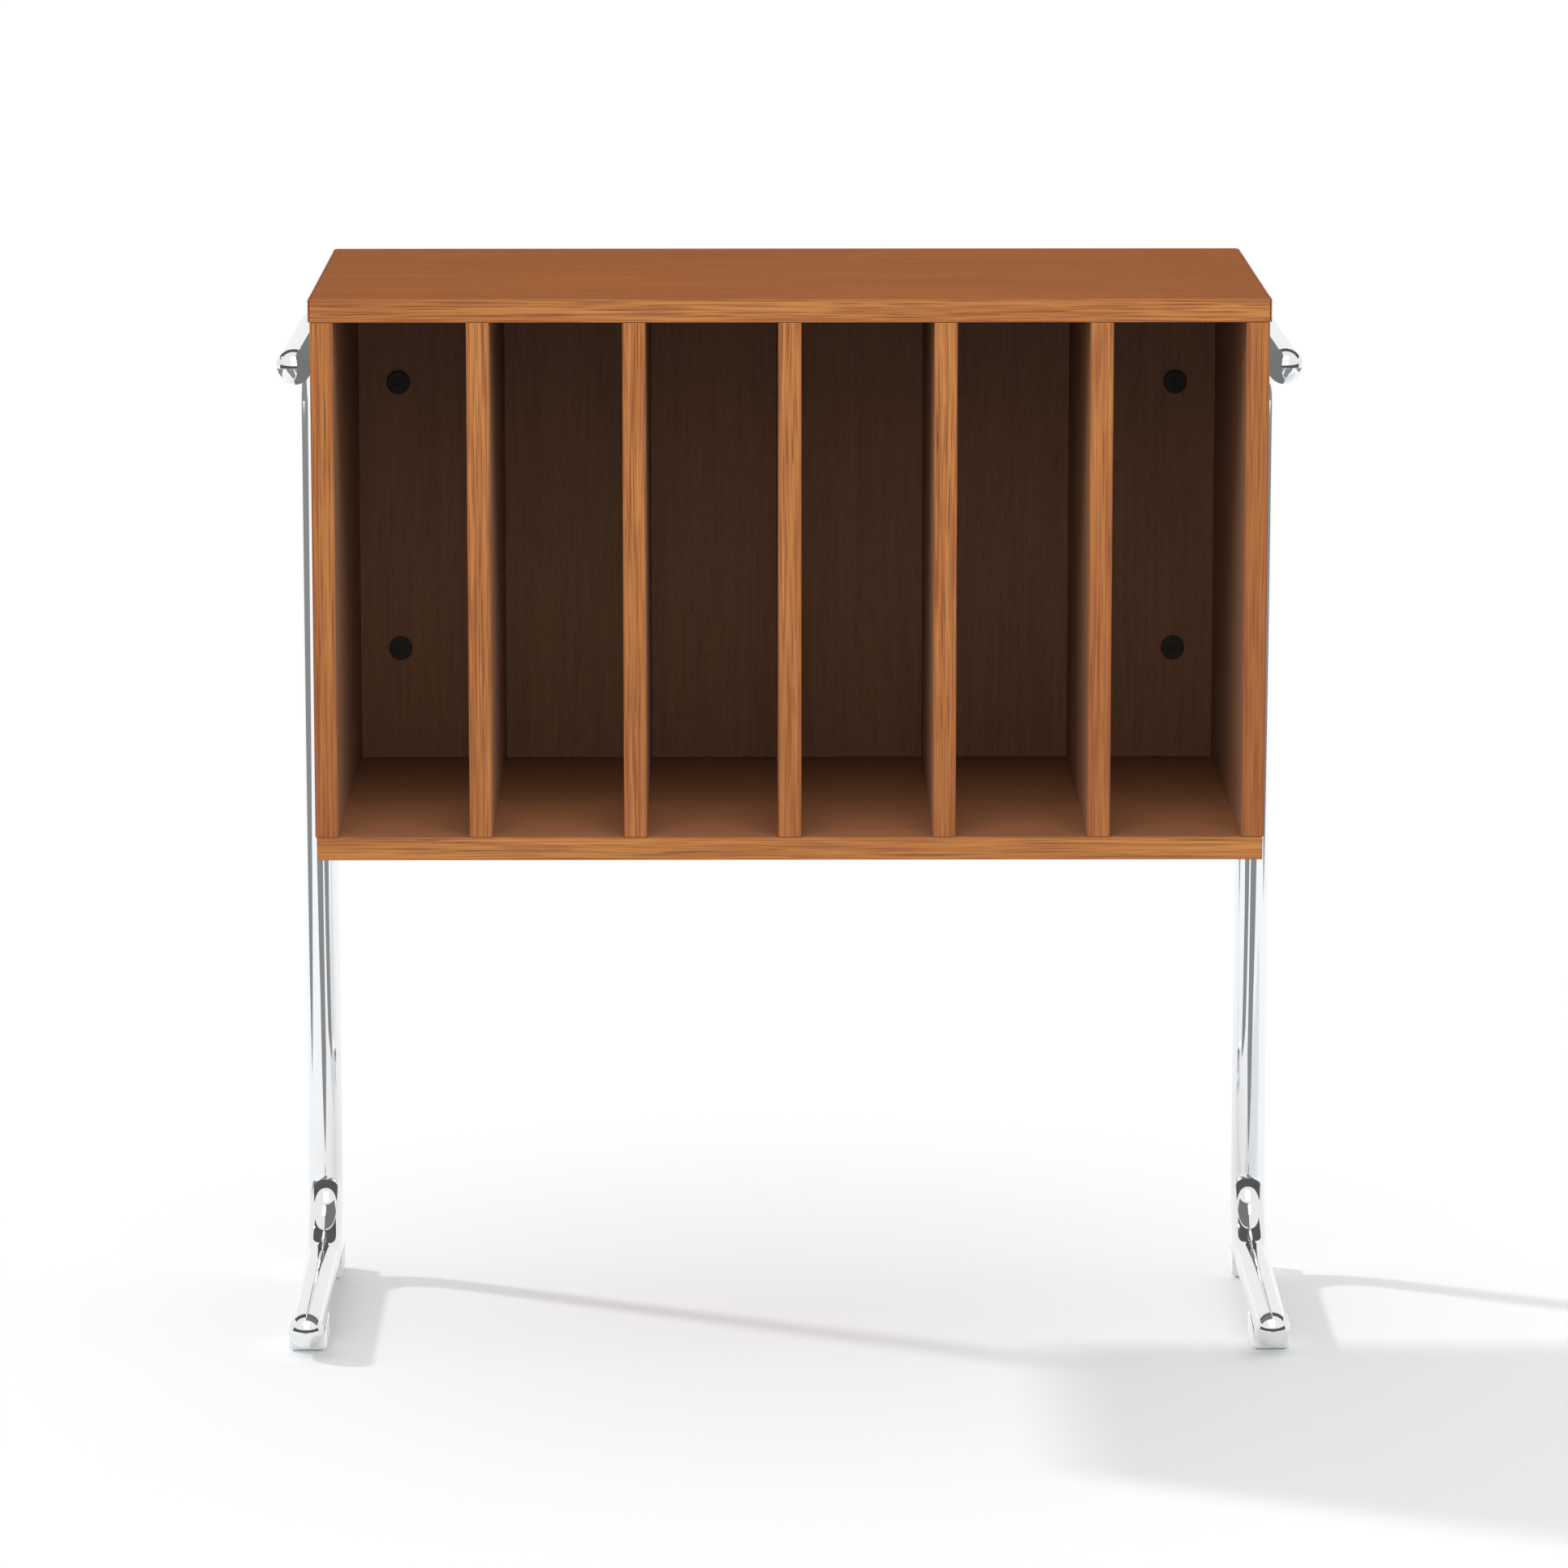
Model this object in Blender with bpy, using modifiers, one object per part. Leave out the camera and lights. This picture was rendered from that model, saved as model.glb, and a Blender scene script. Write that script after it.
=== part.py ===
"""Magazine rack: a veneered case of six upright bays, carried between two bent-tube side frames.

Metres, +Z up, the open front towards -Y. The origin is on the floor, under the centre of the whole rack.
Fitted pieces are sized from what they fit, less a named clearance.
"""

import math

import bmesh
import bpy

# Case
BAY_COUNT = 6
BAY_WIDTH = 0.092
BAY_HEIGHT = 0.362
BOARD = 0.016
CASE_DEPTH = 0.340
BOTTOM_INSET = 0.001
BAND = 0.001
BAND_EASE = 0.0004
GAP = 0.0003

# Joints inside the case
TONGUE_THICKNESS = 0.006
TONGUE_DEPTH = 0.006
TONGUE_STOP = 0.030
DOWEL_RADIUS = 0.004
DOWEL_IN_BOARD = 0.010
DOWEL_IN_PANEL = 0.020
DOWEL_FROM_EDGE = 0.070

# Side frames
TUBE_RADIUS = 0.0127
TUBE_WALL = 0.0015
BEND_RADIUS = 0.057
CASE_ABOVE_FLOOR = 0.368
ARM_BELOW_TOP = 0.050
TUBE_END_SETBACK = 0.029
FOOT_END_SETBACK = 0.040
UPRIGHT_FROM_BACK = 0.040
SPIGOT_LENGTH = 0.007

# Glides under the feet
GLIDE_SIDE = 0.001
GLIDE_UNDER_TUBE = 0.006
GLIDE_LENGTH = 0.038
GLIDE_EASE = 0.004
FRONT_GLIDE_BEHIND_END = 0.013
REAR_GLIDE_PAST_UPRIGHT = 0.002
PEG_RADIUS = 0.003
PEG_LENGTH = 0.004
PEG_FROM_FRONT = 0.010

# Fixings
BOLT_RADIUS = 0.003
BACK_HEAD_RADIUS = 0.0085
BACK_HEAD_HEIGHT = 0.003
BACK_HEAD_CHAMFER = 0.0006
BACK_BOLTS_BELOW_TOP = (0.097, 0.295)
BACK_BOLT_FROM_PANEL = 0.0297
SOCKET_ACROSS_FLATS = 0.004
SOCKET_DEPTH = 0.002
BRACKET_THICKNESS = 0.004
BRACKET_HEIGHT = 0.036
BRACKET_BEND = 0.003
BRACKET_PAST_BOLT = 0.015
NUT_ACROSS_FLATS = 0.010
NUT_HEIGHT = 0.005
BOLT_PAST_NUT = 0.001
SIDE_BOLT_BEHIND_END = 0.014
SIDE_HEAD_RADIUS = 0.005
SIDE_HEAD_HEIGHT = 0.003
CAP_RADIUS = 0.0065
CAP_THICKNESS = 0.0026
CAP_PROUD = 0.0005
INSERT_RADIUS = 0.0045
INSERT_LENGTH = 0.009

# Facets
TUBE_RESOLUTION = 8
BEND_STEPS = 9
TURNED_STEPS = 16
DOME_STEPS = 5

# Sizes that follow
CASE_WIDTH = BAY_COUNT * BAY_WIDTH + (BAY_COUNT + 1) * BOARD
CASE_HEIGHT = BAY_HEIGHT + 2 * BOARD
HEIGHT = CASE_ABOVE_FLOOR + CASE_HEIGHT
INNER_BOTTOM = CASE_ABOVE_FLOOR + BOARD
INNER_TOP = HEIGHT - BOARD
TUBE_X = CASE_WIDTH / 2 + GAP + TUBE_RADIUS
UPRIGHT_SETBACK = CASE_DEPTH - UPRIGHT_FROM_BACK
SIDE_BOLT_SETBACK = TUBE_END_SETBACK + SIDE_BOLT_BEHIND_END
ARM_Z = HEIGHT - ARM_BELOW_TOP
FOOT_Z = GLIDE_UNDER_TUBE + TUBE_RADIUS
GLIDE_HALF_WIDTH = TUBE_RADIUS + GLIDE_SIDE
FRONT_GLIDE = FOOT_END_SETBACK + FRONT_GLIDE_BEHIND_END
REAR_GLIDE = UPRIGHT_SETBACK + REAR_GLIDE_PAST_UPRIGHT - GLIDE_LENGTH
BACK_BOLT_X = CASE_WIDTH / 2 - BOARD - BACK_BOLT_FROM_PANEL
BRACKET_BACK = CASE_DEPTH + GAP + BRACKET_THICKNESS
BOLT_TIP = BRACKET_BACK + GAP + NUT_HEIGHT + BOLT_PAST_NUT
FRONT = -BOLT_TIP / 2
BORE_RADIUS = BOLT_RADIUS + GAP

VENEER = ("veneer", (0.36, 0.145, 0.045), 0.0, 0.45)
BAND_VENEER = ("edge_band", (0.50, 0.21, 0.062), 0.0, 0.45)
CHROME = ("chrome", (0.82, 0.83, 0.85), 1.0, 0.08)
PLASTIC = ("glide_plastic", (0.72, 0.72, 0.70), 0.0, 0.40)
BLACK = ("black_steel", (0.02, 0.02, 0.02), 0.7, 0.40)
ZINC = ("zinc_steel", (0.60, 0.61, 0.62), 1.0, 0.35)
BEECH = ("dowel_wood", (0.55, 0.37, 0.20), 0.0, 0.70)

for old in list(bpy.data.objects):
    bpy.data.objects.remove(old, do_unlink=True)

parts = bpy.data.collections.new("magazine_rack")
cutters = bpy.data.collections.new("cutters")
bpy.context.scene.collection.children.link(parts)
bpy.context.scene.collection.children.link(cutters)
cutters.hide_render = True

# Every piece hangs from this empty, which stands on the floor under the middle of the case's front.
rack = bpy.data.objects.new("rack_front", None)
rack.location = (0.0, FRONT, 0.0)
bpy.context.scene.collection.objects.link(rack)


def add_object(name, data, is_cutter=False):
    """Put a new object among the parts or among the cutters, hung from the rack's empty."""
    obj = bpy.data.objects.new(name, data)
    obj.parent = rack
    (cutters if is_cutter else parts).objects.link(obj)
    if is_cutter:
        obj.hide_render = True
        obj.display_type = "WIRE"
    return obj


def add_mesh(name, bm, is_cutter=False):
    """Make a mesh object from a bmesh, with its faces pointing out."""
    bm.normal_update()
    bmesh.ops.recalc_face_normals(bm, faces=bm.faces)
    mesh = bpy.data.meshes.new(name)
    bm.to_mesh(mesh)
    bm.free()
    return add_object(name, mesh, is_cutter)


def box(name, low, high, is_cutter=False):
    """A box between two corners, each given as X, distance behind the front, and Z."""
    bm = bmesh.new()
    bmesh.ops.create_cube(bm, size=1.0)
    size = [end - start for start, end in zip(low, high)]
    bmesh.ops.scale(bm, vec=size, verts=bm.verts)
    obj = add_mesh(name, bm, is_cutter)
    obj.location = [(start + end) / 2 for start, end in zip(low, high)]
    return obj


def sided_box(name, side, low, high, is_cutter=False):
    """A box given for the right side; side -1 puts it on the left."""
    near, far = sorted((side * low[0], side * high[0]))
    return box(name, (near, low[1], low[2]), (far, high[1], high[2]), is_cutter)


def aim(obj, axis, centre, along):
    """Turn a piece made along Z so that its top faces an axis, and place it there.

    The centre gives the positions on the other two axes, in X, Y, Z order.
    """
    quarter = math.pi / 2
    turns = {
        "+X": (0.0, quarter, 0.0),
        "-X": (0.0, -quarter, 0.0),
        "-Y": (quarter, 0.0, 0.0),
        "+Z": (0.0, 0.0, 0.0),
    }
    obj.rotation_euler = turns[axis]
    place = list(centre)
    place.insert("XYZ".index(axis[1]), along)
    obj.location = place


def cylinder(name, axis, centre, span, radius, sides=TURNED_STEPS, is_cutter=False):
    """A cylinder or prism along X, Y or Z, over a span of that axis."""
    bm = bmesh.new()
    bmesh.ops.create_cone(
        bm,
        cap_ends=True,
        segments=sides,
        radius1=radius,
        radius2=radius,
        depth=abs(span[1] - span[0]),
    )
    obj = add_mesh(name, bm, is_cutter)
    facing = {"X": "+X", "Y": "-Y", "Z": "+Z"}[axis]
    aim(obj, facing, centre, (span[0] + span[1]) / 2)
    return obj


def turned(name, facing, centre, top, outline):
    """A turned piece whose top faces an axis. The outline runs down from the top as (radius, depth)."""
    profile = bpy.data.meshes.new(name)
    points = [(radius, 0.0, -depth) for radius, depth in outline]
    edges = [(index, index + 1) for index in range(len(points) - 1)]
    profile.from_pydata(points, edges, [])
    obj = add_object(name, profile)
    screw = obj.modifiers.new("Turn", "SCREW")
    screw.steps = TURNED_STEPS
    screw.render_steps = TURNED_STEPS
    screw.use_merge_vertices = True
    screw.merge_threshold = 0.00001
    screw.use_smooth_shade = True
    aim(obj, facing, centre, top)
    return obj


def cut(obj, cutter):
    """Take the cutter's shape out of a part."""
    modifier = obj.modifiers.new("Cut", "BOOLEAN")
    modifier.operation = "DIFFERENCE"
    modifier.solver = "EXACT"
    modifier.object = cutter


def join(obj, added):
    """Make the added shape one body with a part."""
    modifier = obj.modifiers.new("Join", "BOOLEAN")
    modifier.operation = "UNION"
    modifier.solver = "EXACT"
    modifier.object = added


def ease(obj, width, segments=1):
    """Break the sharp edges of a part."""
    modifier = obj.modifiers.new("Ease", "BEVEL")
    modifier.width = width
    modifier.segments = segments
    modifier.limit_method = "ANGLE"
    modifier.angle_limit = math.radians(40)
    return modifier


def finish(obj, look, smooth=False):
    """Give a part its material and, if it is round, smooth shading."""
    name, colour, metallic, roughness = look
    material = bpy.data.materials.new(obj.name + "_" + name)
    material.use_nodes = True
    shader = material.node_tree.nodes["Principled BSDF"]
    shader.inputs["Base Color"].default_value = (*colour, 1.0)
    shader.inputs["Metallic"].default_value = metallic
    shader.inputs["Roughness"].default_value = roughness
    obj.data.materials.append(material)
    if smooth:
        obj.data.shade_smooth()
        obj.data.set_sharp_from_angle(angle=math.radians(30))


def arc(centre, radius, first, last, steps):
    """Points round an arc, from one angle to another in degrees."""
    angles = [first + (last - first) * step / steps for step in range(steps + 1)]
    return [
        (
            centre[0] + radius * math.cos(math.radians(angle)),
            centre[1] + radius * math.sin(math.radians(angle)),
        )
        for angle in angles
    ]


def curve_mesh(name, curve, is_cutter=False):
    """Turn a curve into a mesh object with its caps joined to its sides."""
    guide = bpy.data.objects.new(name + "_line", curve)
    cutters.objects.link(guide)
    graph = bpy.context.evaluated_depsgraph_get()
    mesh = bpy.data.meshes.new_from_object(guide.evaluated_get(graph))
    bpy.data.objects.remove(guide, do_unlink=True)
    bm = bmesh.new()
    bm.from_mesh(mesh)
    bpy.data.meshes.remove(mesh)
    bmesh.ops.remove_doubles(bm, verts=bm.verts, dist=0.000001)
    return add_mesh(name, bm, is_cutter)


def frame_line():
    """The side frame's centre line, arm end to foot end, as (behind the front, height)."""
    bend_y = UPRIGHT_SETBACK - BEND_RADIUS
    upper = arc((bend_y, ARM_Z - BEND_RADIUS), BEND_RADIUS, 90, 0, BEND_STEPS)
    lower = arc((bend_y, FOOT_Z + BEND_RADIUS), BEND_RADIUS, 0, -90, BEND_STEPS)
    return [(TUBE_END_SETBACK, ARM_Z), *upper, *lower, (FOOT_END_SETBACK, FOOT_Z)]


def swept(name, x, line, radius, capped, is_cutter=False):
    """A round sweep along a line in a plane of constant X."""
    curve = bpy.data.curves.new(name + "_line", "CURVE")
    curve.dimensions = "3D"
    curve.bevel_depth = radius
    curve.bevel_resolution = TUBE_RESOLUTION
    curve.use_fill_caps = capped
    spline = curve.splines.new("POLY")
    spline.points.add(len(line) - 1)
    for point, (behind, height) in zip(spline.points, line):
        point.co = (0.0, behind, height, 1.0)
    obj = curve_mesh(name, curve, is_cutter)
    obj.location.x = x
    return obj


def flat_shape(name, outline, height):
    """A plate of constant height from a flat outline in X and distance behind the front."""
    curve = bpy.data.curves.new(name + "_line", "CURVE")
    curve.dimensions = "2D"
    curve.fill_mode = "BOTH"
    curve.extrude = height / 2
    spline = curve.splines.new("POLY")
    spline.points.add(len(outline) - 1)
    for point, (x, behind) in zip(spline.points, outline):
        point.co = (x, behind, 0.0, 1.0)
    spline.use_cyclic_u = True
    return curve_mesh(name, curve)


def front_band(name, low, high):
    """A strip of edge veneer on a board's front edge, given the board's X and Z extents."""
    strip = box(name, (low[0], 0.0, low[1]), (high[0], BAND, high[1]))
    ease(strip, BAND_EASE)
    finish(strip, BAND_VENEER)


core_front = BAND + GAP
back_front = CASE_DEPTH - BOARD
back_tongue = (
    back_front + (BOARD - TONGUE_THICKNESS) / 2,
    back_front + (BOARD + TONGUE_THICKNESS) / 2,
)
divider_centres = [
    (index - BAY_COUNT / 2) * (BAY_WIDTH + BOARD) for index in range(1, BAY_COUNT)
]

# Top and bottom boards, with their grooves and dowel holes
top_half = CASE_WIDTH / 2
bottom_half = CASE_WIDTH / 2 - BOTTOM_INSET
top_board = box(
    "top_board",
    (-top_half, core_front, INNER_TOP),
    (top_half, CASE_DEPTH, HEIGHT),
)
bottom_board = box(
    "bottom_board",
    (-bottom_half, core_front, CASE_ABOVE_FLOOR),
    (bottom_half, CASE_DEPTH, INNER_BOTTOM),
)
groove_depth = TONGUE_DEPTH + GAP
for index, x in enumerate(divider_centres, start=1):
    half = TONGUE_THICKNESS / 2 + GAP
    groove = box(
        f"groove_{index}",
        (x - half, TONGUE_STOP - GAP, INNER_BOTTOM - groove_depth),
        (x + half, back_front, INNER_TOP + groove_depth),
        is_cutter=True,
    )
    cut(top_board, groove)
    cut(bottom_board, groove)
back_half = CASE_WIDTH / 2 - BOARD - GAP
back_groove = box(
    "groove_back",
    (-back_half, back_tongue[0] - GAP, INNER_BOTTOM - groove_depth),
    (back_half, back_tongue[1] + GAP, INNER_TOP + groove_depth),
    is_cutter=True,
)
cut(top_board, back_groove)
cut(bottom_board, back_groove)

# Back panel, tongued into the top and bottom boards
back_panel = box(
    "back_panel",
    (-back_half, back_front, INNER_BOTTOM + GAP),
    (back_half, CASE_DEPTH, INNER_TOP - GAP),
)
back_tongues = box(
    "tongue_back",
    (-back_half + GAP, back_tongue[0], INNER_BOTTOM - TONGUE_DEPTH),
    (back_half - GAP, back_tongue[1], INNER_TOP + TONGUE_DEPTH),
    is_cutter=True,
)
join(back_panel, back_tongues)

# Dividers, tongued into the top and bottom boards behind a plain front
for index, x in enumerate(divider_centres, start=1):
    divider = box(
        f"divider_{index}",
        (x - BOARD / 2, core_front, INNER_BOTTOM + GAP),
        (x + BOARD / 2, back_front - GAP, INNER_TOP - GAP),
    )
    tongue = box(
        f"tongue_{index}",
        (x - TONGUE_THICKNESS / 2, TONGUE_STOP, INNER_BOTTOM - TONGUE_DEPTH),
        (x + TONGUE_THICKNESS / 2, back_front - 2 * GAP, INNER_TOP + TONGUE_DEPTH),
        is_cutter=True,
    )
    join(divider, tongue)
    finish(divider, VENEER)
    front_band(
        f"band_divider_{index}",
        (x - BOARD / 2, INNER_BOTTOM + GAP),
        (x + BOARD / 2, INNER_TOP - GAP),
    )

front_band("band_top", (-top_half, INNER_TOP), (top_half, HEIGHT))
front_band("band_bottom", (-bottom_half, CASE_ABOVE_FLOOR), (bottom_half, INNER_BOTTOM))

for side, word in ((-1, "left"), (1, "right")):
    # Side panel and its edge strips
    side_panel = sided_box(
        f"side_panel_{word}",
        side,
        (CASE_WIDTH / 2 - BOARD, core_front, INNER_BOTTOM + GAP),
        (CASE_WIDTH / 2, CASE_DEPTH, INNER_TOP - GAP),
    )
    near, far = sorted((side * (CASE_WIDTH / 2 - BOARD), side * CASE_WIDTH / 2))
    front_band(
        f"band_side_{word}", (near, INNER_BOTTOM + GAP), (far, INNER_TOP - GAP)
    )
    end_strip = sided_box(
        f"band_top_{word}",
        side,
        (top_half + GAP, 0.0, INNER_TOP),
        (top_half + GAP + BAND, CASE_DEPTH, HEIGHT),
    )
    ease(end_strip, BAND_EASE)
    finish(end_strip, BAND_VENEER)

    # Corner dowels, two up and two down on each side
    dowel_x = side * (CASE_WIDTH / 2 - BOARD / 2)
    for place, setback in (
        ("front", DOWEL_FROM_EDGE),
        ("rear", CASE_DEPTH - DOWEL_FROM_EDGE),
    ):
        for level, seam, up, board in (
            ("upper", INNER_TOP, 1, top_board),
            ("lower", INNER_BOTTOM, -1, bottom_board),
        ):
            hole_ends = sorted(
                (seam + up * DOWEL_IN_BOARD, seam - up * DOWEL_IN_PANEL)
            )
            hole = cylinder(
                f"dowel_hole_{level}_{place}_{word}",
                "Z",
                (dowel_x, setback),
                hole_ends,
                DOWEL_RADIUS + GAP,
                is_cutter=True,
            )
            cut(board, hole)
            cut(side_panel, hole)
            dowel = cylinder(
                f"dowel_{level}_{place}_{word}",
                "Z",
                (dowel_x, setback),
                (hole_ends[0] + GAP, hole_ends[1] - GAP),
                DOWEL_RADIUS,
            )
            finish(dowel, BEECH, smooth=True)

    # Side frame: one bent tube, open at both ends
    side_frame = swept(
        f"side_frame_{word}", side * TUBE_X, frame_line(), TUBE_RADIUS, capped=False
    )
    wall = side_frame.modifiers.new("Wall", "SOLIDIFY")
    wall.thickness = TUBE_WALL
    wall.offset = -1.0
    wall.use_rim = True
    tube_space = swept(
        f"tube_space_{word}",
        side * TUBE_X,
        frame_line(),
        TUBE_RADIUS + GAP,
        capped=True,
        is_cutter=True,
    )

    # Domed ends of the arm and the foot
    bore = TUBE_RADIUS - TUBE_WALL - GAP
    for name, setback, height in (
        (f"arm_end_{word}", TUBE_END_SETBACK, ARM_Z),
        (f"foot_end_{word}", FOOT_END_SETBACK, FOOT_Z),
    ):
        dome = arc((0.0, 0.0), TUBE_RADIUS, 90, 0, DOME_STEPS)
        outline = [(radius, TUBE_RADIUS - rise) for radius, rise in dome]
        outline[0] = (0.0, 0.0)
        outline += [
            (bore, TUBE_RADIUS),
            (bore, TUBE_RADIUS + SPIGOT_LENGTH),
            (0.0, TUBE_RADIUS + SPIGOT_LENGTH),
        ]
        end = turned(
            name,
            "-Y",
            (side * TUBE_X, height),
            setback - GAP - TUBE_RADIUS,
            outline,
        )
        finish(end, CHROME, smooth=True)

    # Saddle glides, each with a peg into the underside of the foot
    for place, start in (("front", FRONT_GLIDE), ("rear", REAR_GLIDE)):
        glide = sided_box(
            f"glide_{place}_{word}",
            side,
            (TUBE_X - GLIDE_HALF_WIDTH, start, 0.0),
            (TUBE_X + GLIDE_HALF_WIDTH, start + GLIDE_LENGTH, FOOT_Z),
        )
        rounding = ease(glide, GLIDE_EASE, segments=3)
        rounding.limit_method = "WEIGHT"
        weights = glide.data.attributes.new("bevel_weight_edge", "FLOAT", "EDGE")
        for edge in glide.data.edges:
            is_low = all(glide.data.vertices[v].co.z < 0.0 for v in edge.vertices)
            weights.data[edge.index].value = 1.0 if is_low else 0.0
        cut(glide, tube_space)
        peg_top = GLIDE_UNDER_TUBE + TUBE_WALL + PEG_LENGTH
        peg_post = cylinder(
            f"peg_{place}_{word}",
            "Z",
            (side * TUBE_X, start + PEG_FROM_FRONT),
            (GLIDE_UNDER_TUBE / 2, peg_top),
            PEG_RADIUS,
            is_cutter=True,
        )
        join(glide, peg_post)
        finish(glide, PLASTIC)
        peg_hole = cylinder(
            f"peg_hole_{place}_{word}",
            "Z",
            (side * TUBE_X, start + PEG_FROM_FRONT),
            (0.0, FOOT_Z),
            PEG_RADIUS + GAP,
            is_cutter=True,
        )
        cut(side_frame, peg_hole)

    # Side bolt, through the panel into a threaded insert in the arm
    inner_face = CASE_WIDTH / 2 - BOARD
    seat = inner_face + CAP_THICKNESS - CAP_PROUD + GAP + SIDE_HEAD_HEIGHT + GAP
    inward = "-X" if side > 0 else "+X"
    insert_start = CASE_WIDTH / 2 + GAP
    counterbore = cylinder(
        f"counterbore_{word}",
        "X",
        (SIDE_BOLT_SETBACK, ARM_Z),
        sorted((side * (inner_face - BOARD), side * seat)),
        CAP_RADIUS + GAP,
        is_cutter=True,
    )
    through = cylinder(
        f"side_bolt_hole_{word}",
        "X",
        (SIDE_BOLT_SETBACK, ARM_Z),
        sorted((side * inner_face, side * (CASE_WIDTH / 2 + GAP / 2))),
        BORE_RADIUS,
        is_cutter=True,
    )
    cut(side_panel, counterbore)
    cut(side_panel, through)
    finish(side_panel, VENEER)
    insert_hole = cylinder(
        f"insert_hole_{word}",
        "X",
        (SIDE_BOLT_SETBACK, ARM_Z),
        sorted((side * CASE_WIDTH / 2, side * TUBE_X)),
        INSERT_RADIUS + GAP,
        is_cutter=True,
    )
    cut(side_frame, insert_hole)
    finish(side_frame, CHROME, smooth=True)

    insert = cylinder(
        f"arm_insert_{word}",
        "X",
        (SIDE_BOLT_SETBACK, ARM_Z),
        sorted((side * insert_start, side * (insert_start + INSERT_LENGTH))),
        INSERT_RADIUS,
    )
    insert_bore = cylinder(
        f"insert_bore_{word}",
        "X",
        (SIDE_BOLT_SETBACK, ARM_Z),
        sorted((side * CASE_WIDTH / 2, side * (TUBE_X + TUBE_RADIUS))),
        BORE_RADIUS,
        is_cutter=True,
    )
    cut(insert, insert_bore)
    finish(insert, ZINC, smooth=True)

    head_face = seat - GAP - SIDE_HEAD_HEIGHT
    bolt_reach = insert_start + INSERT_LENGTH - head_face
    side_bolt = turned(
        f"side_bolt_{word}",
        inward,
        (SIDE_BOLT_SETBACK, ARM_Z),
        side * head_face,
        [
            (0.0, 0.0),
            (SIDE_HEAD_RADIUS, 0.0),
            (SIDE_HEAD_RADIUS, SIDE_HEAD_HEIGHT),
            (BOLT_RADIUS, SIDE_HEAD_HEIGHT),
            (BOLT_RADIUS, bolt_reach),
            (0.0, bolt_reach),
        ],
    )
    finish(side_bolt, ZINC, smooth=True)
    cap = turned(
        f"cover_cap_{word}",
        inward,
        (SIDE_BOLT_SETBACK, ARM_Z),
        side * (inner_face - CAP_PROUD),
        [
            (0.0, 0.0),
            (CAP_RADIUS - CAP_PROUD, 0.0),
            (CAP_RADIUS, CAP_PROUD),
            (CAP_RADIUS, CAP_THICKNESS),
            (0.0, CAP_THICKNESS),
        ],
    )
    finish(cap, BAND_VENEER, smooth=True)

    # Brackets behind the back panel, their bolts and their nuts
    for level, below_top in zip(("upper", "lower"), BACK_BOLTS_BELOW_TOP):
        bolt_z = HEIGHT - below_top
        bolt_place = (side * BACK_BOLT_X, bolt_z)
        outer_x = TUBE_X + BRACKET_THICKNESS / 2
        root = UPRIGHT_SETBACK
        tip_x = BACK_BOLT_X - BRACKET_PAST_BOLT
        bend_centre = (
            outer_x - BRACKET_THICKNESS - BRACKET_BEND,
            BRACKET_BACK - BRACKET_THICKNESS - BRACKET_BEND,
        )
        outline = [
            (outer_x - BRACKET_THICKNESS, root),
            (outer_x, root),
            *arc(bend_centre, BRACKET_BEND + BRACKET_THICKNESS, 0, 90, 5),
            (tip_x, BRACKET_BACK),
            (tip_x, BRACKET_BACK - BRACKET_THICKNESS),
            *arc(bend_centre, BRACKET_BEND, 90, 0, 5),
        ]
        bracket = flat_shape(
            f"bracket_{level}_{word}",
            [(side * x, behind) for x, behind in outline],
            BRACKET_HEIGHT,
        )
        bracket.location.z = bolt_z
        cut(bracket, tube_space)

        hole = cylinder(
            f"back_bolt_hole_{level}_{word}",
            "Y",
            bolt_place,
            (back_front - BOARD, BOLT_TIP + BOARD),
            BORE_RADIUS,
            is_cutter=True,
        )
        cut(bracket, hole)
        cut(back_panel, hole)
        finish(bracket, CHROME)

        nut = cylinder(
            f"nut_{level}_{word}",
            "Y",
            bolt_place,
            (BRACKET_BACK + GAP, BRACKET_BACK + GAP + NUT_HEIGHT),
            NUT_ACROSS_FLATS / 2 / math.cos(math.pi / 6),
            sides=6,
        )
        cut(nut, hole)
        finish(nut, ZINC)

        head_front = back_front - GAP - BACK_HEAD_HEIGHT
        bolt = turned(
            f"back_bolt_{level}_{word}",
            "-Y",
            bolt_place,
            head_front,
            [
                (0.0, 0.0),
                (BACK_HEAD_RADIUS - BACK_HEAD_CHAMFER, 0.0),
                (BACK_HEAD_RADIUS, BACK_HEAD_CHAMFER),
                (BACK_HEAD_RADIUS, BACK_HEAD_HEIGHT),
                (BOLT_RADIUS, BACK_HEAD_HEIGHT),
                (BOLT_RADIUS, BOLT_TIP - head_front),
                (0.0, BOLT_TIP - head_front),
            ],
        )
        socket = cylinder(
            f"socket_{level}_{word}",
            "Y",
            bolt_place,
            (head_front - SOCKET_DEPTH, head_front + SOCKET_DEPTH),
            SOCKET_ACROSS_FLATS / 2 / math.cos(math.pi / 6),
            sides=6,
            is_cutter=True,
        )
        cut(bolt, socket)
        finish(bolt, BLACK, smooth=True)

finish(top_board, VENEER)
finish(bottom_board, VENEER)
finish(back_panel, VENEER)
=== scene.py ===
"""The looks of the magazine rack: a veneered case of six bays between two chrome tubes.

Metres, +Z up, the open front towards -Y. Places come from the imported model. The sizes
that it doesn't give, such as the tube's wall and bend, are named below.
"""

import math

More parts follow.
